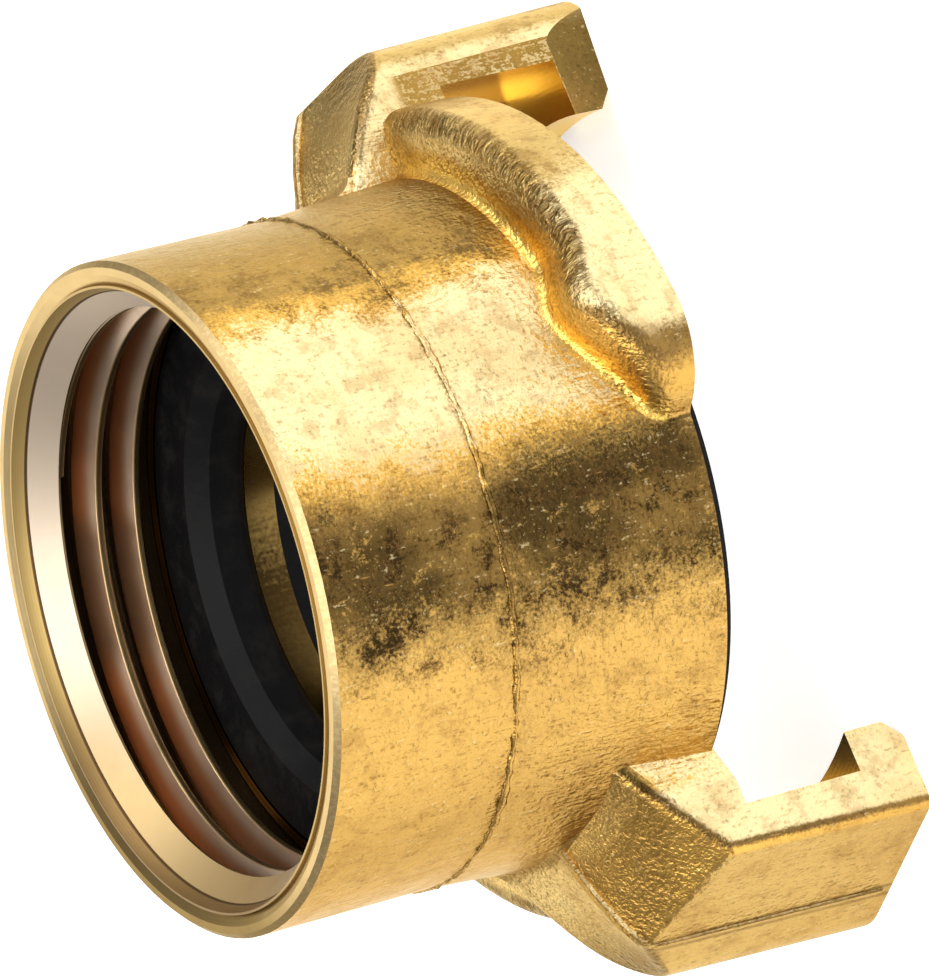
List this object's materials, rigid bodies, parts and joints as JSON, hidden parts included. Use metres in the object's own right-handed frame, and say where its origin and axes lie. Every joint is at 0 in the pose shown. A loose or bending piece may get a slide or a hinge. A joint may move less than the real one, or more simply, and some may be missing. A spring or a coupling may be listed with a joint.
{
  "type": "hose quick coupling",
  "caption": "Brass hose quick coupling: claws and cam ribs around a rubber face seal at one end, an internal pipe thread with a flat gasket at the other.",
  "frame": {"origin": "on the flow axis, in the plane of the claw tips on which the coupling stands", "axes": "+Z along the flow axis out of the threaded mouth, +X through one claw, XZ the forging's parting plane"},
  "size_m": [0.0524, 0.0442, 0.0338],
  "materials": {
    "brass": "forged and turned, bare",
    "seal_rubber": "matte",
    "gasket_rubber": "matte"
  },
  "bodies": {
    "root": {"coupling_body": "brass", "claw_seal": "seal_rubber", "thread_gasket": "gasket_rubber"}
  },
  "joints": []
}
